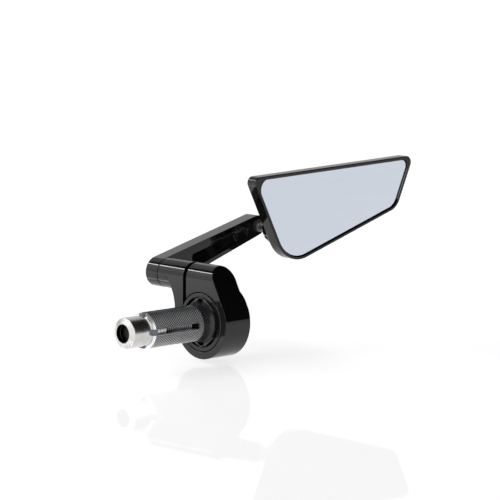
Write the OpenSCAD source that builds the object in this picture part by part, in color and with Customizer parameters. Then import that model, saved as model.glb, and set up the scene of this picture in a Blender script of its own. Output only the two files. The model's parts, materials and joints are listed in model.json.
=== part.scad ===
// Right-hand bar-end mirror: expanding plug, clamp ring, swinging arm, ball joint, flat mirror head.
// X runs outboard along the handlebar axis, Y points forward, Z points up.
// The origin lies on the bar axis, at the inner end of the slotted, knurled part of the sleeve.
// Inside the modules X is counted from the inboard face of the clamp; place() moves it to the origin.

/* [Plug] */
// Diameter of the knurled sleeve that goes inside the handlebar
sleeve_d = 16.5; // [16.2:0.1:17.2]
// Length of the knurled sleeve outside the hub
sleeve_l = 29.4; // [26:0.2:34]
// Width of the four expansion slots
slot_w = 2.9; // [2:0.1:3]
// How far the steel cone stands out of the sleeve mouth
cone_out = 11.9; // [10:0.1:14]

/* [Clamp] */
// Outside diameter of the clamp ring
ring_d = 34.2; // [34:0.2:36]
// Width of the clamp ring along the bar axis
ring_w = 15.2; // [15:0.1:17]
// Height of the arm pivot above the bar axis
pivot_z = 18.85; // [18.6:0.05:20]
// Distance from the bar axis to the sloping rear face
slope_dist = 16.95; // [15.8:0.05:17.0]

/* [Arm] */
// Distance from the arm pivot to the ball stud
arm_len = 59.26; // [50:0.5:80]
// Rise of the arm above the bar axis direction, degrees
arm_rise = 16.2; // [10:0.5:24]
// Thickness of the arm
arm_t = 7.75; // [7.6:0.05:9]
// Depth of the long relief in the rear face of the arm
relief_depth = 2.0; // [1:0.1:2.6]

/* [Mirror head] */
// Length of the straight top edge of the head
head_w = 106; // [96:1:130]
// Height of the head at its inboard lower corner
head_h = 44.35; // [42:0.5:52]
// Thickness of the housing
head_t = 6; // [5.8:0.1:8]
// Width of the bezel around the glass
bezel = 1.5; // [1:0.1:2.5]
// How far the glass sits below the bezel
glass_sink = 0.9; // [0.4:0.1:1.1]

/* [Ball joint] */
// Diameter of the ball
ball_d = 10; // [9.6:0.1:10]

/* [Hidden] */
$fn = 96;

// plug
sr = sleeve_d / 2;
hub_x = -5.4;                       // where the sleeve leaves the hub
mouth = hub_x - sleeve_l;           // open end of the sleeve
cone_end = mouth - cone_out;        // outer end of the cone
cone_r = 7.0;
root_w = 2.8;                       // slightly relieved band between the slots and the hub
taper = 0.095;                      // cone radius lost per mm of length
cone_in = mouth + 8.8;              // inner end of the cone
knee = mouth - 2.84;                // start of the taper
bolt_r = 3.95;
bolt_end = cone_end + 2.7;
pitch = 1.25;

// hub and adapter
hub_r = 9.7;
lobe_z = 8.36;
adapter_r = 13.6;
bore_r = adapter_r + 0.05;

// clamp
rr = ring_d / 2;
boss_r = 6.9;
px = boss_r;                        // pivot axis position along X
pz = pivot_z;
lug_y = 29.3;                       // end face of the clamp boss
slit_y = 9.75;
slit_w = 2;

// arm
arm_y0 = lug_y + 0.3;
arm_y1 = arm_y0 + arm_t;
tip_r = 4.7;
sx = px + arm_len * cos(arm_rise);  // ball stud axis
sz = pz + arm_len * sin(arm_rise);

// ball joint
by = 16.5;                          // ball centre along Y
br = ball_d / 2;
seat_r = br + 1.05;
socket_r = seat_r + 0.05;

// head, drawn in its own plane: corner order is top inboard, top outboard, bottom outboard, bottom inboard
roll = 1.2;
hy0 = 5;
hy1 = hy0 + head_t;
ball_u = 25.7;
ball_v = -27.3;
corners = [[0, 0], [head_w, 0], [head_w - 11.7, -head_h * 0.5445], [21.1, -head_h]];
radii = [3, 3.1, 9, 15.8];
glass_radii = [5, 3.2, 7.5, 14.3];        // corner radii of the glass opening

// ---- helpers ----
module place() { translate([root_w - hub_x, 0, 0]) children(); }
module xcyl(x0, x1, r) { translate([x0, 0, 0]) rotate([0, 90, 0]) cylinder(h = x1 - x0, r = r); }
module xcone(x0, x1, r0, r1) { translate([x0, 0, 0]) rotate([0, 90, 0]) cylinder(h = x1 - x0, r1 = r0, r2 = r1); }
module xrev(pts) { rotate([0, 90, 0]) rotate_extrude() polygon(pts); }
module ycyl(y0, y1, r, x, z) { translate([x, y0, z]) rotate([-90, 0, 0]) cylinder(h = y1 - y0, r = r); }
module ycone(y0, y1, r0, r1, x, z) { translate([x, y0, z]) rotate([-90, 0, 0]) cylinder(h = y1 - y0, r1 = r0, r2 = r1); }
module yrev(pts) { translate([sx, 0, sz]) rotate([-90, 0, 0]) rotate_extrude() polygon(pts); }
function arc(r, a0, a1, n) = [for (i = [0:n]) let (a = a0 + (a1 - a0) * i / n) [r * max(cos(a), 0), by + r * sin(a)]];
module along_y(y0, y1) { translate([0, y1, 0]) rotate([90, 0, 0]) linear_extrude(height = y1 - y0) children(); }
module along_x(x0, x1) { translate([x0, 0, 0]) rotate([90, 0, 90]) linear_extrude(height = x1 - x0) children(); }
module in_head() { translate([sx, 0, sz]) rotate([0, -roll, 0]) translate([-ball_u, 0, -ball_v]) children(); }

function unit(a, b) = (b - a) / norm(b - a);
// centre of the corner arc of radius r at corner b, with the outline moved inward by d
function arc_c(a, b, c, r, d) =
    let (u = unit(b, a), v = unit(b, c), w = u + v, s = norm(w) / 2, k = sqrt(1 - s * s))
    b + w / norm(w) * ((r + d) / k);
function foot(p, a, b) = a + unit(a, b) * ((p - a) * unit(a, b));

// four-sided plate with rounded corners between y0 and y1, its outline moved inward by d
module head_plate(y0, y1, d) {
    n = 4;
    rs = d > 0 ? [for (r = glass_radii) r + bezel - d] : radii;
    cs = [for (i = [0:3]) arc_c(corners[(i + 3) % n], corners[i], corners[(i + 1) % n], rs[i], d)];
    pts = [for (i = [0:3]) for (j = [0:1])
        let (a = corners[(i + 3 + j) % n], b = corners[(i + j) % n], f = foot(cs[i], a, b))
        cs[i] + unit(cs[i], f) * (rs[i] - (d > 0 ? 0.004 : 0))];
    union() {
        along_y(y0, y1) polygon(pts);
        for (i = [0:3]) ycyl(y0, y1, rs[i], cs[i][0], cs[i][1]);
    }
}

// bar with two round ends joined by straight tangents, axis along +X
module taper_bar(y0, y1, r0, r1, len) {
    a = asin((r0 - r1) / len);
    q0 = r0 - 0.004;
    q1 = r1 - 0.004;
    union() {
        along_y(y0, y1) polygon([
            [q0 * sin(a), q0 * cos(a)], [len + q1 * sin(a), q1 * cos(a)],
            [len + q1 * sin(a), -q1 * cos(a)], [q0 * sin(a), -q0 * cos(a)]]);
        ycyl(y0, y1, r0, 0, 0);
        ycyl(y0, y1, r1, len, 0);
    }
}
module in_arm() { translate([px, 0, pz]) rotate([0, -arm_rise, 0]) children(); }

// ---- plug ----
module expander_sleeve() place() color("silver")
    difference() {
        xrev([
            [6.81, mouth], [sr - 0.65, mouth], [sr, mouth + 0.8], [sr, hub_x - root_w],
            [sr - 0.1, hub_x - root_w], [sr - 0.1, hub_x], [5.0, hub_x], [5.0, 2.0],
            [4.05, 2.0], [4.05, hub_x - 2.4], [4.3, hub_x - 2.65], [4.3, mouth + 15],
            [5.4, mouth + 14.5], [6.81 - 8.8 * taper, mouth + 8.8]]);
        for (a = [0, 90]) rotate([a, 0, 0])
            translate([mouth - 1, -slot_w / 2, -sr - 1]) cube([sleeve_l - 2.6 + 1, slot_w, 2 * sr + 2]);
    }

module key_block(g) for (a = [0, 90, 180, 270]) rotate([a, 0, 0])
    translate([mouth - 1.0, -(slot_w - 0.2) / 2, 5.5]) cube([3.1, slot_w - 0.2, g]);

module expander_cone() place() color("gainsboro")
    difference() {
        xrev([
            [4.15, cone_end], [4.5, cone_end], [6.9, cone_end + 1.1], [cone_r, cone_end + 1.3],
            [cone_r, knee], [cone_r - (mouth + 4.9 - knee) * taper, mouth + 4.9],
            [5.75, mouth + 4.9], [5.75, mouth + 5.4],
            [cone_r - (mouth + 5.4 - knee) * taper, mouth + 5.4],
            [cone_r - (mouth + 6.6 - knee) * taper, mouth + 6.6],
            [5.6, mouth + 6.6], [5.6, mouth + 7.1],
            [cone_r - (mouth + 7.1 - knee) * taper, mouth + 7.1],
            [cone_r - (cone_in - knee) * taper, cone_in],
            [4.03, cone_in], [4.03, bolt_end - 0.5], [4.15, bolt_end - 0.62]]);
        key_block(3);
    }

module cone_keys() place() color("slategray") key_block(2.35);

module expander_bolt() place() color("dimgray")
    difference() {
        xrev(concat(
            [[0, bolt_end], [3.1, bolt_end]],
            [for (i = [0:24]) for (q = [[3.3, 0], [bolt_r, pitch / 2]])
                [q[0], bolt_end + 0.3 + i * pitch + q[1]]],
            [[3.3, bolt_end + 0.3 + 25 * pitch], [bolt_r, bolt_end + 0.8 + 25 * pitch],
             [bolt_r, 2.8], [5.3, 2.8], [5.5, 3.0], [5.5, 7.5], [5.2, 7.8], [0, 7.8]]));
        translate([4.8, 0, 0]) rotate([0, 90, 0]) cylinder(h = 4, r = 3.46, $fn = 6);
    }

module bolt_washer() place() color("silver")
    difference() { xcyl(2.0, 2.8, 5.5); xcyl(1, 4, 4.05); }

module hub_flange() place() color("#1c1c1c")
    difference() {
        union() {
            xrev([
                [5.0, hub_x], [sr, hub_x], [sr + 0.06, -4.1], [sr + 0.22, -2.8], [sr + 0.5, -1.6],
                [sr + 0.95, -0.7], [hub_r, 0], [hub_r, 5], [5.75, 5], [5.75, 2.0], [5.0, 2.0]]);
            along_x(0.2, 5) for (s = [-1, 1]) {
                translate([0, s * lobe_z]) circle(r = 3.1);
                polygon([[-9.0, s * 6.0], [-3.0, s * 10.7], [3.0, s * 10.7], [9.0, s * 6.0]]);
            }
        }
        for (s = [-1, 1]) translate([0, 0, s * lobe_z]) {
            xcyl(-0.6, 3.0, 2.5);
            xcyl(1, 6, 1.5);
        }
        xcyl(hub_x - 1, 2.0, 5.0);
        xcyl(2.0, 6, 5.75);
    }

module adapter_ring() place() color("#202020")
    difference() {
        xrev([
            [11.6, 0], [adapter_r - 0.4, 0], [adapter_r, 0.4], [adapter_r, ring_w], [12.0, ring_w], [12.0, 9],
            [5.75, 9], [5.75, 5], [11.6, 5]]);
        for (s = [-1, 1]) translate([0, 0, s * lobe_z]) xcyl(4, 10, 1.6);
    }

module hub_screws() place() color("#2a2a2a")
    for (s = [-1, 1]) translate([0, 0, s * lobe_z]) difference() {
        xrev([[0, 1.9], [1.3, 1.9], [1.5, 2.1], [1.5, 9], [2.75, 9], [2.75, 11.6], [2.55, 11.8], [0, 11.8]]);
        translate([10.2, 0, 0]) rotate([0, 90, 0]) cylinder(h = 2, r = 1.44, $fn = 6);
    }

module end_cap() place() color("#1a1a1a")
    xrev([
        [0, ring_w - 1.2], [10.2, ring_w - 1.2], [10.2, 12.2], [12.0, 12.2], [12.0, 12.9], [10.6, 12.9], [10.6, 14.3],
        [12.0, 14.3], [12.0, ring_w], [13.3, ring_w], [13.3, ring_w + 0.5], [12.6, ring_w + 1.2], [0, ring_w + 1.4]]);

module cap_oring() place() color("#111111")
    rotate([0, 90, 0]) rotate_extrude() translate([11.3, 13.6]) circle(r = 0.68, $fn = 24);

// ---- clamp ----
module clamp_body() place() color("#181818")
    difference() {
        union() {
            xcyl(0, ring_w, rr);
            intersection() {
                along_x(0, ring_w) difference() {
                    polygon([[-14, 4], [-10, 0], [rr, 0], [17.4, 4], [24.1, pz], [24.1, pz + 8], [-19, pz + 8], [-19, 14]]);
                    translate([37.4, 4]) circle(r = 20);
                }
                along_y(-20, 26) {
                    polygon([[0, -1], [2 * boss_r, -1], [2 * boss_r, pz], [0, pz]]);
                    translate([px, pz]) circle(r = boss_r);
                }
            }
            ycyl(-14, lug_y, boss_r, px, pz);
        }
        // sloping rear face
        rotate([61.6, 0, 0]) translate([-5, -40, slope_dist]) cube([30, 80, 40]);
        // bore for the adapter
        xcyl(-1, ring_w + 1, bore_r);
        xcone(-0.01, 0.4, bore_r + 0.41, bore_r);
        // slit from the bore out through the pivot boss
        translate([-1, slit_y, 7]) cube([ring_w + 2, slit_w, 24]);
        // pinch bolt: clearance on the forward side, thread on the rear side
        ycyl(slit_y + slit_w - 0.5, lug_y + 1, 3.2, px, pz);
        ycyl(-5, slit_y + 0.5, 3.02, px, pz);
        ycyl(lug_y - 0.6, lug_y + 1, 5.24, px, pz);
    }

module pivot_washer() place() color("ivory")
    difference() {
        ycyl(lug_y - 0.6, arm_y0 + 0.4, 5.2, px, pz);
        ycyl(lug_y - 2, arm_y0 + 2, 3.05, px, pz);
    }

module spring_washer() place() color("gray")
    difference() {
        ycyl(arm_y0 + 3.0, arm_y0 + 3.6, 4.9, px, pz);
        ycyl(arm_y0 + 2, arm_y0 + 5, 3.05, px, pz);
    }

module pivot_bolt() place() color("#2c2c2c")
    translate([px, 0, pz]) rotate([-90, 0, 0]) difference() {
        rotate_extrude() polygon([
            [0, -4.6], [2.6, -4.6], [3.0, -4.2], [3.0, arm_y0 + 3.6], [4.9, arm_y0 + 3.6],
            [4.9, arm_y0 + 7.1], [4.6, arm_y0 + 7.4], [0, arm_y0 + 7.4]]);
        translate([0, 0, arm_y0 + 4.9]) cylinder(h = 4, r = 2.89, $fn = 6);
    }

// ---- arm ----
module arm_body() {
    difference() {
        in_arm() taper_bar(arm_y0, arm_y1, boss_r, tip_r, arm_len);
        // long relief with a sloping lower wall
        in_arm() intersection() {
            translate([19.5, 0, -0.4]) taper_bar(arm_y0 - 1, arm_y0 + relief_depth, 3.7, 2.6, arm_len - 29.3);
            rotate([0, 2.2, 0]) translate([10, 0, 0]) rotate([90, 0, 90]) linear_extrude(height = 60)
                polygon([
                    [arm_y0 - 1, 8], [arm_y0 + relief_depth, 8], [arm_y0 + relief_depth, 2.1],
                    [arm_y0, -4.6], [arm_y0 - 1, -4.6]]);
        }
        // pivot bore, counterbore for the bolt head, seat for the friction washer
        ycyl(arm_y0 - 1, arm_y1 + 1, 3.06, px, pz);
        ycyl(arm_y0 + 2.9, arm_y1 + 1, 5.25, px, pz);
        ycyl(arm_y0 - 1, arm_y0 + 0.5, 5.26, px, pz);
        // ball stud bore with its rear counterbore and the nut recess in front
        ycyl(arm_y0 - 1, arm_y1 + 1, 2.55, sx, sz);
        ycyl(arm_y0 - 1, arm_y0 + 0.9, 3.4, sx, sz);
        ycyl(arm_y1 - 3.5, arm_y1 + 1, 3.9, sx, sz);
    }
}
module mirror_arm() place() color("#1b1b1b") arm_body();

// ---- ball joint ----
module ball_stud() place() color("#333333")
    yrev(concat(arc(br, -90, acos(2.2 / br), 24), [
        [2.2, arm_y0 - 3.0], [2.7, arm_y0 - 2.4], [3.0, arm_y0 - 2.2], [3.0, arm_y0 + 0.8],
        [2.5, arm_y0 + 0.8], [2.5, arm_y1 - 0.9], [2.2, arm_y1 - 0.6], [0, arm_y1 - 0.6]]));

module stud_washer() place() color("silver")
    difference() {
        ycyl(arm_y1 - 3.4, arm_y1 - 2.9, 3.6, sx, sz);
        ycyl(arm_y1 - 4, arm_y1 - 2, 2.5, sx, sz);
    }

module stud_nut() place() color("#2a2a2a")
    difference() {
        ycyl(arm_y1 - 2.9, arm_y1 - 0.5, 3.6, sx, sz);
        ycyl(arm_y1 - 4, arm_y1 + 1, 2.5, sx, sz);
        translate([sx, 0, sz]) for (a = [0, 90]) rotate([0, a, 0])
            translate([-4, arm_y1 - 1.3, -0.5]) cube([8, 2, 1]);
    }

module ball_seat() place() color("whitesmoke")
    difference() {
        yrev(concat(
            arc(seat_r, -asin(4.6 / seat_r), asin(2.6 / seat_r), 16),
            arc(br + 0.05, asin(2.6 / (br + 0.05)), -asin(4.6 / (br + 0.05)), 18)));
        for (a = [30, 150, 270]) translate([sx, 0, sz]) rotate([0, a, 0])
            translate([2, by - 1, -0.4]) cube([8, 5, 0.8]);
    }

module ring_at(r) for (a = [90, 210, 330]) translate([sx + r * cos(a), 0, sz + r * sin(a)]) children();

module socket_ring() place() color("#1d1d1d")
    difference() {
        yrev(concat(
            [[9.3, hy1 + 1.4], [9.3, hy1 + 2.4], [6.7, by + 2.9]],
            arc(socket_r, asin(2.9 / socket_r), -asin(4.1 / socket_r), 16)));
        ring_at(7.9) { ycyl(hy1, by + 5, 1.05, 0, 0); ycyl(hy1 + 2.4, by + 5, 1.45, 0, 0); }
    }

module ring_screws() place() color("#303030")
    ring_at(7.9) difference() {
        union() { ycyl(hy1 - 1.4, hy1 + 2.4, 0.98, 0, 0); ycyl(hy1 + 2.4, hy1 + 3.7, 1.35, 0, 0); }
        ycyl(hy1 + 2.9, hy1 + 4.3, 0.72, 0, 0, $fn = 6);
    }

// ---- head ----
module mirror_housing() place() color("#191919")
    difference() {
        union() {
            in_head() head_plate(hy0, hy1, 0);
            ycyl(hy1 - 0.5, hy1 + 1.4, 9.8, sx, sz);
        }
        in_head() head_plate(hy0 - 1, hy0 + glass_sink + 2.3, bezel);
        translate([sx, by, sz]) sphere(r = socket_r);
        ring_at(7.9) ycyl(hy1 - 1.5, hy1 + 3, 1.0, 0, 0);
    }

module mirror_glass() place() color("lightsteelblue")
    in_head() head_plate(hy0 + glass_sink, hy0 + glass_sink + 2, bezel + 0.3);

module glass_pad() place() color("#3a3a3a")
    in_head() head_plate(hy0 + glass_sink + 2, hy0 + glass_sink + 2.3, bezel + 1);

expander_sleeve();
expander_cone();
cone_keys();
expander_bolt();
bolt_washer();
hub_flange();
adapter_ring();
hub_screws();
end_cap();
cap_oring();
clamp_body();
pivot_washer();
spring_washer();
pivot_bolt();
mirror_arm();
ball_stud();
stud_washer();
stud_nut();
ball_seat();
socket_ring();
ring_screws();
mirror_housing();
mirror_glass();
glass_pad();
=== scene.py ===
import json
import math

import bmesh
import bpy
import numpy as np
from mathutils import Matrix, Vector


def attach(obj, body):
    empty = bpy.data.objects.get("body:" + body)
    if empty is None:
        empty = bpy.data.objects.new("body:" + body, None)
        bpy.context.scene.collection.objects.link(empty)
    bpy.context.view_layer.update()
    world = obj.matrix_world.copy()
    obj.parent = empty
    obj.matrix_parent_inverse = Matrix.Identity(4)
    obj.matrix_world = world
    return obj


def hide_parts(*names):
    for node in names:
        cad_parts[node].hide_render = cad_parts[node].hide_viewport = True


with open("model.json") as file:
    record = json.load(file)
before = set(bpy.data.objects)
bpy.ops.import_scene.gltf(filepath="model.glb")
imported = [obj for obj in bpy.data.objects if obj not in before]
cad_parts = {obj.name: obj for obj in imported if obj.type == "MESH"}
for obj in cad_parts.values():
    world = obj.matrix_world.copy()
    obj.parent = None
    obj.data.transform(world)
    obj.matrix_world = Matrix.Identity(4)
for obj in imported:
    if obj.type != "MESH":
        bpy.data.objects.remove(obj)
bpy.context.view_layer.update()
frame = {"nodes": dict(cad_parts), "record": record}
nodes = frame["nodes"]
MM = 0.001
HX = 8.2            # clamp's inboard face, mm outboard of the origin
scene = bpy.context.scene
scene.view_settings.view_transform = "Standard"
scene.view_settings.look = "None"
scene.view_settings.exposure = 0.0
scene.view_settings.gamma = 1.0


# ------------------------------------------------------------------ camera
def look_from(az, el):
    a, e = math.radians(az), math.radians(el)
    back = Vector((math.sin(a) * math.cos(e), -math.cos(a) * math.cos(e), math.sin(e)))
    right = Vector((math.cos(a), math.sin(a), 0))
    up = back.cross(right)
    m = Matrix((right, up, back)).transposed()
    return m


cam = bpy.data.cameras.new("camera")
cam.lens = 253.86
cam.sensor_width = 36.0
cam.clip_start = 0.05
cam.clip_end = 50
camera = bpy.data.objects.new("camera", cam)
scene.collection.objects.link(camera)
m4 = look_from(-43.20, 8.22).to_4x4()
m4.translation = Vector((-1.06438 + HX * MM, -1.16639, 0.26114))
camera.matrix_world = m4
scene.camera = camera


# ------------------------------------------------------------------ node helpers
class Tree:
    """Small helper that builds a node tree."""

    def __init__(self, tree):
        self.t = tree
        tree.nodes.clear()

    def n(self, kind, **props):
        node = self.t.nodes.new(kind)
        for k, v in props.items():
            setattr(node, k, v)
        return node

    def link(self, a, b):
        self.t.links.new(a, b)

    def feed(self, socket, value):
        if hasattr(value, "is_output"):
            self.link(value, socket)
        else:
            socket.default_value = value

    def math(self, op, a, b=0.0, c=None, clamp=False):
        m = self.n("ShaderNodeMath", operation=op, use_clamp=clamp)
        self.feed(m.inputs[0], a)
        self.feed(m.inputs[1], b)
        if c is not None:
            self.feed(m.inputs[2], c)
        return m.outputs[0]

    def noise(self, vec, scale, detail=3.0, rough=0.5, dist=0.0):
        n = self.n("ShaderNodeTexNoise")
        self.link(vec, n.inputs["Vector"])
        n.inputs["Scale"].default_value = scale
        n.inputs["Detail"].default_value = detail
        n.inputs["Roughness"].default_value = rough
        n.inputs["Distortion"].default_value = dist
        return n.outputs["Fac"]

    def remap(self, v, a, b, c, d, smooth=False):
        m = self.n("ShaderNodeMapRange", clamp=True)
        if smooth:
            m.interpolation_type = "SMOOTHSTEP"
        self.link(v, m.inputs["Value"])
        for i, x in zip((1, 2, 3, 4), (a, b, c, d)):
            m.inputs[i].default_value = x
        return m.outputs[0]

    def mix(self, fac, a, b):
        m = self.n("ShaderNodeMix", data_type="RGBA")
        self.feed(m.inputs[0], fac)
        self.feed(m.inputs[6], a)
        self.feed(m.inputs[7], b)
        return m.outputs[2]


def material(name, build):
    mat = bpy.data.materials.new(name)
    mat.use_nodes = True
    t = Tree(mat.node_tree)
    out = t.n("ShaderNodeOutputMaterial")
    bsdf = t.n("ShaderNodeBsdfPrincipled")
    t.link(bsdf.outputs[0], out.inputs[0])
    coord = t.n("ShaderNodeTexCoord")
    build(t, bsdf, coord.outputs["Object"])
    return mat


def bump(t, bsdf, height, strength, distance):
    b = t.n("ShaderNodeBump")
    b.inputs["Strength"].default_value = strength
    b.inputs["Distance"].default_value = distance
    t.link(height, b.inputs["Height"])
    t.link(b.outputs[0], bsdf.inputs["Normal"])


def rgb(r, g, b):
    return (r, g, b, 1.0)


# ------------------------------------------------------------------ materials
def m_black(t, s, v):
    big = t.noise(v, 60, 3)
    fine = t.noise(v, 900, 4, 0.6)
    speck = t.noise(v, 2600, 2, 0.7)
    base = t.mix(t.remap(big, 0.3, 0.7, 0, 1), rgb(0.0020, 0.0020, 0.0023), rgb(0.0034, 0.0034, 0.0038))
    dust = t.remap(speck, 0.71, 0.80, 0, 0.25)
    t.link(t.mix(dust, base, rgb(0.03, 0.03, 0.032)), s.inputs["Base Color"])
    t.link(t.math("ADD", t.remap(fine, 0.3, 0.7, 0.035, 0.075), t.math("MULTIPLY", dust, 0.3)), s.inputs["Roughness"])
    s.inputs["IOR"].default_value = 1.48
    bump(t, s, fine, 0.02, 0.00002)


def m_black_satin(t, s, v):
    big = t.noise(v, 90, 3)
    fine = t.noise(v, 1500, 4, 0.6)
    t.link(t.mix(t.remap(big, 0.3, 0.7, 0, 1), rgb(0.013, 0.013, 0.0145), rgb(0.024, 0.024, 0.026)), s.inputs["Base Color"])
    t.link(t.remap(fine, 0.3, 0.7, 0.22, 0.34), s.inputs["Roughness"])
    s.inputs["IOR"].default_value = 1.5
    bump(t, s, fine, 0.08, 0.00003)


def m_black_steel(t, s, v):
    big = t.noise(v, 250, 4)
    fine = t.noise(v, 2200, 4, 0.65)
    t.link(t.mix(t.remap(big, 0.35, 0.65, 0, 1), rgb(0.085, 0.085, 0.090), rgb(0.150, 0.148, 0.146)), s.inputs["Base Color"])
    s.inputs["Metallic"].default_value = 0.8
    t.link(t.remap(fine, 0.3, 0.7, 0.25, 0.48), s.inputs["Roughness"])
    bump(t, s, fine, 0.15, 0.00003)


def m_thread(t, s, v):
    big = t.noise(v, 250, 4)
    fine = t.noise(v, 2200, 4, 0.65)
    sep = t.n("ShaderNodeSeparateXYZ")
    t.link(v, sep.inputs[0])
    r2 = t.math("ADD", t.math("MULTIPLY", sep.outputs[1], sep.outputs[1]), t.math("MULTIPLY", sep.outputs[2], sep.outputs[2]))
    root = t.math("MAXIMUM", t.remap(t.math("SQRT", r2), 0.00350, 0.00378, 1, 0), t.remap(sep.outputs[0], -0.0008, -0.0005, 0, 1))
    crest = t.mix(t.remap(big, 0.35, 0.65, 0, 1), rgb(0.40, 0.40, 0.41), rgb(0.54, 0.535, 0.53))
    t.link(t.mix(root, crest, rgb(0.03, 0.03, 0.032)), s.inputs["Base Color"])
    s.inputs["Metallic"].default_value = 1.0
    t.link(t.remap(fine, 0.3, 0.7, 0.30, 0.44), s.inputs["Roughness"])
    bump(t, s, fine, 0.15, 0.00003)


def m_knurl(t, s, v):
    big = t.noise(v, 200, 4)
    fine = t.noise(v, 2600, 4, 0.65)
    sep = t.n("ShaderNodeSeparateXYZ")
    t.link(v, sep.inputs[0])
    r2 = t.math("ADD", t.math("MULTIPLY", sep.outputs[1], sep.outputs[1]), t.math("MULTIPLY", sep.outputs[2], sep.outputs[2]))
    radius = t.math("SQRT", r2)
    # Painted shade: the base colour goes nearly black in the knurl valleys, by radius, in place of the shade that falls
    # between the diamonds.
    low = t.math("MULTIPLY", t.remap(radius, 0.00807, 0.00818, 1, 0), t.remap(radius, 0.00790, 0.00796, 0, 1))
    low = t.math("MULTIPLY", low, t.remap(sep.outputs[0], -0.02585, -0.0257, 0, 1))
    # Painted shade: the inner bore past the slots is painted nearly black as well.
    bore_shade = t.math("MULTIPLY", t.remap(sep.outputs[0], 0.00010, 0.00016, 0, 1), t.remap(radius, 0.0078, 0.0079, 1, 0))
    low = t.math("MAXIMUM", low, bore_shade)
    bright = t.mix(t.remap(big, 0.35, 0.65, 0, 1), rgb(0.90, 0.91, 0.93), rgb(0.97, 0.975, 0.98))
    t.link(t.mix(low, bright, rgb(0.045, 0.046, 0.05)), s.inputs["Base Color"])
    s.inputs["Metallic"].default_value = 1.0
    t.link(t.remap(fine, 0.3, 0.7, 0.31, 0.42), s.inputs["Roughness"])
    bump(t, s, fine, 0.1, 0.00003)


def turned(t, v, scale):
    """Fine rings around the X axis."""
    sep = t.n("ShaderNodeSeparateXYZ")
    t.link(v, sep.inputs[0])
    com = t.n("ShaderNodeCombineXYZ")
    t.link(t.math("MULTIPLY", sep.outputs[0], 1.0), com.inputs[0])
    t.link(t.math("MULTIPLY", sep.outputs[1], 0.02), com.inputs[1])
    t.link(t.math("MULTIPLY", sep.outputs[2], 0.02), com.inputs[2])
    return t.noise(com.outputs[0], scale, 5, 0.7)


def m_turned(t, s, v):
    big = t.noise(v, 160, 4)
    rings = turned(t, v, 6000)
    sep = t.n("ShaderNodeSeparateXYZ")
    t.link(v, sep.inputs[0])
    r2 = t.math("ADD", t.math("MULTIPLY", sep.outputs[1], sep.outputs[1]), t.math("MULTIPLY", sep.outputs[2], sep.outputs[2]))
    # Painted shade: inside the centre hole the base colour is nearly black, standing in for the shade in the hole.
    hole_shade = t.remap(t.math("SQRT", r2), 0.00428, 0.00442, 1, 0)
    outside = t.mix(t.remap(big, 0.35, 0.65, 0, 1), rgb(0.63, 0.62, 0.605), rgb(0.72, 0.71, 0.695))
    t.link(t.mix(hole_shade, outside, rgb(0.035, 0.035, 0.036)), s.inputs["Base Color"])
    s.inputs["Metallic"].default_value = 1.0
    t.link(t.remap(rings, 0.3, 0.7, 0.22, 0.32), s.inputs["Roughness"])
    bump(t, s, rings, 0.08, 0.00002)


def m_zinc(t, s, v):
    big = t.noise(v, 260, 4)
    fine = t.noise(v, 1800, 4, 0.65)
    t.link(t.mix(t.remap(big, 0.35, 0.65, 0, 1), rgb(0.13, 0.155, 0.18), rgb(0.22, 0.245, 0.27)), s.inputs["Base Color"])
    s.inputs["Metallic"].default_value = 1.0
    t.link(t.remap(fine, 0.3, 0.7, 0.24, 0.42), s.inputs["Roughness"])
    bump(t, s, fine, 0.1, 0.00003)


def m_nylon(t, s, v):
    big = t.noise(v, 180, 3)
    fine = t.noise(v, 1600, 4, 0.6)
    t.link(t.mix(t.remap(big, 0.3, 0.7, 0, 1), rgb(0.74, 0.73, 0.68), rgb(0.84, 0.83, 0.79)), s.inputs["Base Color"])
    t.link(t.remap(fine, 0.3, 0.7, 0.38, 0.55), s.inputs["Roughness"])
    s.inputs["Subsurface Weight"].default_value = 0.1
    s.inputs["Subsurface Scale"].default_value = 0.001
    bump(t, s, fine, 0.1, 0.00003)


def m_rubber(t, s, v):
    big = t.noise(v, 300, 3)
    fine = t.noise(v, 2400, 4, 0.6)
    t.link(t.mix(t.remap(big, 0.3, 0.7, 0, 1), rgb(0.016, 0.016, 0.017), rgb(0.030, 0.030, 0.031)), s.inputs["Base Color"])
    t.link(t.remap(fine, 0.3, 0.7, 0.45, 0.65), s.inputs["Roughness"])
    bump(t, s, fine, 0.2, 0.00004)


def m_foam(t, s, v):
    cells = t.noise(v, 3200, 3, 0.6)
    t.link(t.mix(t.remap(cells, 0.35, 0.65, 0, 1), rgb(0.05, 0.05, 0.05), rgb(0.12, 0.12, 0.12)), s.inputs["Base Color"])
    t.link(t.remap(cells, 0.3, 0.7, 0.7, 0.9), s.inputs["Roughness"])
    bump(t, s, cells, 0.5, 0.0001)


def m_glass(t, s, v):
    big = t.noise(v, 14, 2)
    speck = t.noise(v, 1500, 3, 0.7)
    dust = t.remap(speck, 0.70, 0.80, 0, 0.25)
    tint = t.mix(t.remap(big, 0.3, 0.7, 0, 1), rgb(0.766, 0.824, 0.912), rgb(0.781, 0.840, 0.926))
    t.link(t.mix(dust, tint, rgb(0.70, 0.755, 0.84)), s.inputs["Base Color"])
    s.inputs["Metallic"].default_value = 1.0
    t.link(t.math("ADD", t.remap(big, 0.3, 0.7, 0.012, 0.022), t.math("MULTIPLY", dust, 0.2)), s.inputs["Roughness"])


MATS = {
    "black_anodised": material("black_anodised_gloss", m_black),
    "black_satin": material("black_anodised_satin", m_black_satin),
    "black_steel": material("black_oxide_steel", m_black_steel),
    "worn_thread": material("worn_thread_steel", m_thread),
    "knurled_aluminium": material("knurled_bare_aluminium", m_knurl),
    "turned_steel": material("fine_turned_steel", m_turned),
    "zinc_steel": material("zinc_plated_steel", m_zinc),
    "white_nylon": material("white_moulded_nylon", m_nylon),
    "black_rubber": material("satin_black_rubber", m_rubber),
    "mirror_glass": material("tinted_mirror_glass", m_glass),
    "adhesive_foam": material("adhesive_foam_sheet", m_foam),
}

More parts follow.
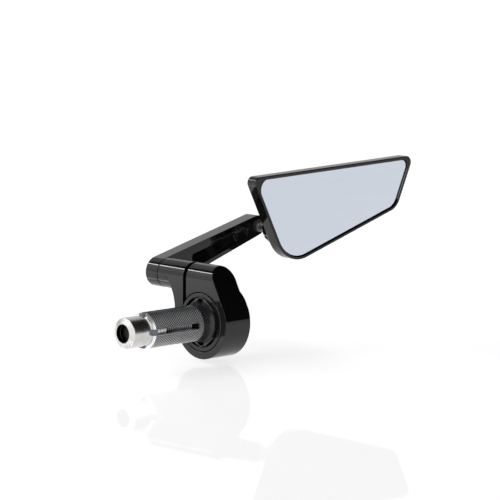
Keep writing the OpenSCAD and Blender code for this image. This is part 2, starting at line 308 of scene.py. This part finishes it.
SLOT = {s["node"]: s["material_slot"] for s in frame["record"]["subparts"]}


def set_material(obj, name):
    obj.data.materials.clear()
    obj.data.materials.append(MATS[name])


for name, obj in nodes.items():
    set_material(obj, SLOT[name])

# ------------------------------------------------------------------ pieces built around the frame
BODY = {n: b for b, ns in frame["record"]["behaviour"]["bodies"].items() for n in ns}


def new_piece(name, mesh, node, mat=None):
    obj = bpy.data.objects.new(name, mesh)
    scene.collection.objects.link(obj)
    obj.data.materials.clear()
    obj.data.materials.append(MATS[mat or SLOT[node]])
    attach(obj, BODY[node])
    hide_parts(node)
    return obj


def softened(node, width, segments=2, angle=30.0, mat=None):
    """The node's own shape with its sharp edges rounded."""
    bm = bmesh.new()
    bm.from_mesh(nodes[node].data)
    bmesh.ops.remove_doubles(bm, verts=bm.verts, dist=2e-6)
    bmesh.ops.dissolve_degenerate(bm, dist=1e-6, edges=bm.edges)
    bmesh.ops.dissolve_limit(bm, angle_limit=math.radians(0.6), verts=bm.verts, edges=bm.edges)
    for f in bm.faces:
        f.smooth = True
    mesh = bpy.data.meshes.new(node + "_finished")
    bm.to_mesh(mesh)
    bm.free()
    obj = new_piece(node + "_finished", mesh, node, mat)
    bev = obj.modifiers.new("edges", "BEVEL")
    bev.width = width * MM
    bev.segments = segments
    bev.limit_method = "ANGLE"
    bev.angle_limit = math.radians(angle)
    bev.use_clamp_overlap = False
    bev.harden_normals = False
    bev.miter_outer = "MITER_ARC"
    wn = obj.modifiers.new("normals", "WEIGHTED_NORMAL")
    wn.mode = "FACE_AREA"
    wn.weight = 50
    wn.keep_sharp = False
    return obj


def start_mesh(node):
    bm = bmesh.new()
    bm.from_mesh(nodes[node].data)
    bmesh.ops.remove_doubles(bm, verts=bm.verts, dist=2e-6)
    bmesh.ops.dissolve_degenerate(bm, dist=1e-6, edges=bm.edges)
    bm.normal_update()
    return bm


def finish_mesh(bm, name, flat=()):
    """Smooth shading with sharp creases; faces in flat stay faceted."""
    bm.normal_update()
    for f in bm.faces:
        f.smooth = f not in flat
    for e in bm.edges:
        e.smooth = len(e.link_faces) == 2 and e.calc_face_angle(0.0) < math.radians(28)
    mesh = bpy.data.meshes.new(name)
    bm.to_mesh(mesh)
    bm.free()
    return mesh


def knurled_sleeve():
    """The sleeve with a cut diamond knurl in place of its plain outside."""
    bm = start_mesh("expander_sleeve")
    r_out = max(math.hypot(v.co.y, v.co.z) for v in bm.verts)
    x_in = min(v.co.x for v in bm.verts) + 0.8 * MM
    x_end = 2.8 * MM
    gone = [f for f in bm.faces
            if all(math.hypot(v.co.y, v.co.z) > r_out - 0.13 * MM and v.co.x > x_in - 0.01 * MM for v in f.verts)]
    half = min(abs(v.co.y) for f in gone for v in f.verts if all(w.co.x < 0.01 * MM for w in f.verts))
    slot_end = 0.2 * MM
    bmesh.ops.delete(bm, geom=gone, context="FACES")
    starts, long_pitch, deep = 48, 1.42 * MM, 0.30 * MM
    da = 2 * math.pi / starts / 4
    dx = long_pitch / 4

    def height(i, j):
        u, v = (i + j) / 4.0, (i - j) / 4.0
        du, dv = abs(u - round(u)), abs(v - round(v))
        return min(1.0, min(du, dv) * 2.5)

    flat = set()

    def patch(a0, a1, x0, x1):
        cols = [(a0, a0 / da)] + [(k * da, k) for k in range(math.floor(a0 / da) + 1, math.ceil(a1 / da))
                                  if a0 + da * 0.25 < k * da < a1 - da * 0.25] + [(a1, a1 / da)]
        rows = [(x0, x0 / dx)] + [(k * dx, k) for k in range(math.floor(x0 / dx) + 1, math.ceil(x1 / dx))
                                  if x0 + dx * 0.25 < k * dx < x1 - dx * 0.25] + [(x1, x1 / dx)]
        grid = []
        for ci, (a, i) in enumerate(cols):
            line = []
            for ri, (x, j) in enumerate(rows):
                side = ci in (0, len(cols) - 1) and x < slot_end + 0.01 * MM
                edge = side or (ri == 0 and (x0 < 0 or ci not in (0, len(cols) - 1)))
                r = r_out - (0.0 if edge else deep * (1 - height(i, j)))
                line.append(bm.verts.new((x, r * math.cos(a), r * math.sin(a))))
            grid.append(line)
        for ci in range(len(cols) - 1):
            for ri in range(len(rows) - 1):
                p, q = grid[ci][ri], grid[ci + 1][ri]
                t, w = grid[ci][ri + 1], grid[ci + 1][ri + 1]
                k = round(cols[ci][1]) + round(rows[ri][1])
                if (k + 1) % 4 == 0:
                    tris = ((p, t, q), (q, t, w))
                else:
                    tris = ((p, t, w), (p, w, q))
                for tri in tris:
                    flat.add(bm.faces.new(tri))

    edge = math.asin(half / r_out)
    for k in range(4):
        turn_k = k * math.pi / 2
        patch(turn_k + edge, turn_k + math.pi / 2 - edge, x_in, x_end)
        patch(turn_k - edge, turn_k + edge, slot_end, x_end)
    for f in flat:
        c = f.calc_center_median()
        f.normal_update()
        if f.normal.y * c.y + f.normal.z * c.z < 0:
            f.normal_flip()
    new_piece("sleeve_knurled", finish_mesh(bm, "sleeve_knurled", flat), "expander_sleeve")


def threaded_bolt():
    """The bolt with a real helical thread in place of its rings."""
    bm = start_mesh("expander_bolt")
    x_a = min(v.co.x for v in bm.verts) + 0.3 * MM
    pitch, root, crest = 1.25 * MM, 3.3 * MM, 3.95 * MM
    turns = 28
    x_b = x_a + turns * pitch
    bmesh.ops.bisect_plane(bm, geom=bm.verts[:] + bm.edges[:] + bm.faces[:], dist=1e-7,
                           plane_co=(x_b, 0, 0), plane_no=(1, 0, 0))
    gone = [f for f in bm.faces
            if all(math.hypot(v.co.y, v.co.z) > root - 0.05 * MM and x_a - 0.02 * MM < v.co.x < x_b + 0.02 * MM for v in f.verts)]
    bmesh.ops.delete(bm, geom=gone, context="FACES")
    around, form = 48, (0.0, 0.45, 0.95, 1.0, 0.55, 0.08)
    per = len(form)
    lines = []
    for i in range(around):
        a = 2 * math.pi * i / around
        line = []
        for j in range(-per, turns * per + 1):
            x = min(max(x_a + pitch * (j / per + i / around), x_a), x_b)
            fade = min(1.0, max(0.0, (x - x_a) / (0.7 * pitch)))
            runout = min(1.0, max(0.0, (x - x_b) / (0.7 * pitch) + 1.0))
            r = root + (crest - root) * max(form[j % per] * fade, runout)
            line.append((x, bm.verts.new((x, r * math.cos(a), r * math.sin(a)))))
        lines.append(line)
    n = len(lines[0])
    new = []
    for i in range(around):
        shift = per if i == around - 1 else 0
        this, other = lines[i], lines[(i + 1) % around]
        for j in range(n - 1):
            k = j + shift
            if k + 1 >= n:
                continue
            quad = (this[j], this[j + 1], other[k + 1], other[k])
            if max(q[0] for q in quad) - min(q[0] for q in quad) < 1e-7:
                continue
            new.append(bm.faces.new([q[1] for q in quad]))
    bmesh.ops.remove_doubles(bm, verts=bm.verts, dist=1e-6)
    new = [f for f in new if f.is_valid]
    for f in new:
        f.normal_update()
        c = f.calc_center_median()
        if f.normal.y * c.y + f.normal.z * c.z < 0:
            f.normal_flip()
    loose = [v for v in bm.verts if not v.link_faces]
    bmesh.ops.delete(bm, geom=loose, context="VERTS")
    new_piece("bolt_threaded", finish_mesh(bm, "bolt_threaded"), "expander_bolt", "worn_thread")


knurled_sleeve()
threaded_bolt()


softened("clamp_body", 0.22)
softened("mirror_arm", 0.2)
softened("mirror_housing", 0.42, 3)
softened("hub_flange", 0.12, 2, 30.0, "black_satin")
softened("adapter_ring", 0.15)

# ------------------------------------------------------------------ world: a light tent with a dark top
world = bpy.data.worlds.new("studio")
scene.world = world
world.use_nodes = True
w = Tree(world.node_tree)
w_out = w.n("ShaderNodeOutputWorld")
w_bg = w.n("ShaderNodeBackground")
w.link(w_bg.outputs[0], w_out.inputs[0])
w_tc = w.n("ShaderNodeTexCoord")
w_sep = w.n("ShaderNodeSeparateXYZ")
w.link(w_tc.outputs["Generated"], w_sep.inputs[0])
elev = w.math("MULTIPLY", w.math("ARCSINE", w_sep.outputs[2]), 180 / math.pi)
turn = w.math("MULTIPLY", w.math("ARCTAN2", w_sep.outputs[0], w_sep.outputs[1]), 180 / math.pi)


def span(v, a0, a1, b0, b1):
    """1 between a1 and b0, smooth to 0 at a0 and b1."""
    return w.math("MULTIPLY", w.remap(v, a0, a1, 0, 1, True), w.remap(v, b0, b1, 1, 0, True))


left = w.remap(turn, -35, -8, 1, 0, True)                 # 1 on the left and camera side, 0 ahead
dark_side = span(turn, 62, 84, 172, 179)                  # black screen on the right
wall = w.math("MULTIPLY", w.remap(elev, 32.2, 33.4, 1, 0, True), w.math("ADD", w.math("MULTIPLY", left, 0.42), w.remap(elev, 14, 24, 0.60, 0.82, True)))
strip = w.math("MULTIPLY", span(elev, 33.7, 34.3, 36.0, 36.8), span(turn, -130, -110, -24, -16))
top = w.math("MULTIPLY", w.remap(elev, 33.0, 36.0, 0, 1, True), span(turn, -16, -7, 62, 84))
light = w.math("ADD", w.math("ADD", wall, w.math("MULTIPLY", strip, 15.0)), w.math("MULTIPLY", top, 0.52))
above = w.remap(elev, -0.4, 0.2, 0, 1)
light = w.math("MULTIPLY", light, w.math("SUBTRACT", 1.0, w.math("MULTIPLY", w.math("MULTIPLY", dark_side, above), 0.993)))
light = w.math("ADD", light, 0.007)
path = w.n("ShaderNodeLightPath")
seen = w.n("ShaderNodeMix", data_type="FLOAT")
w.link(path.outputs["Is Camera Ray"], seen.inputs[0])
w.link(light, seen.inputs[2])
seen.inputs[3].default_value = 1.0
w_bg.inputs["Color"].default_value = rgb(1, 1, 1)
w.link(seen.outputs[0], w_bg.inputs["Strength"])


# ------------------------------------------------------------------ floor
def floor_material():
    mat = bpy.data.materials.new("white_floor")
    mat.use_nodes = True
    t = Tree(mat.node_tree)
    out = t.n("ShaderNodeOutputMaterial")
    s = t.n("ShaderNodeBsdfPrincipled")
    v = t.n("ShaderNodeTexCoord").outputs["Object"]
    fine = t.noise(v, 30, 3)
    t.link(t.mix(t.remap(fine, 0.3, 0.7, 0, 1), rgb(0.79, 0.79, 0.79), rgb(0.81, 0.81, 0.81)), s.inputs["Base Color"])
    s.inputs["Roughness"].default_value = 0.6
    s.inputs["Specular IOR Level"].default_value = 0.0
    dot = t.n("ShaderNodeVectorMath", operation="DOT_PRODUCT")
    t.link(v, dot.inputs[0])
    dot.inputs[1].default_value = (0.6805, -0.7362, 0.0)
    side = dot.outputs["Value"]
    glow = t.math("ADD", t.remap(side, 0.15, 0.24, 0.75, 0.56, True), t.remap(side, -0.26, -0.15, 0.40, 0.0, True))
    s.inputs["Emission Color"].default_value = rgb(1, 1, 1)
    t.link(glow, s.inputs["Emission Strength"])
    g = t.n("ShaderNodeBsdfGlossy")
    g.inputs["Roughness"].default_value = 0.025
    g.inputs["Color"].default_value = rgb(1, 1, 1)
    mix = t.n("ShaderNodeMixShader")
    mix.inputs[0].default_value = 0.17
    t.link(s.outputs[0], mix.inputs[1])
    t.link(g.outputs[0], mix.inputs[2])
    t.link(mix.outputs[0], out.inputs[0])
    return mat


bm = bmesh.new()
R = 12.0
fz = -19.08 * MM
ring = [bm.verts.new((R * math.cos(i * math.tau / 96), R * math.sin(i * math.tau / 96), fz)) for i in range(96)]
bm.faces.new(ring)
me = bpy.data.meshes.new("floor")
bm.to_mesh(me)
bm.free()
floor = bpy.data.objects.new("floor", me)
scene.collection.objects.link(floor)
me.materials.append(floor_material())
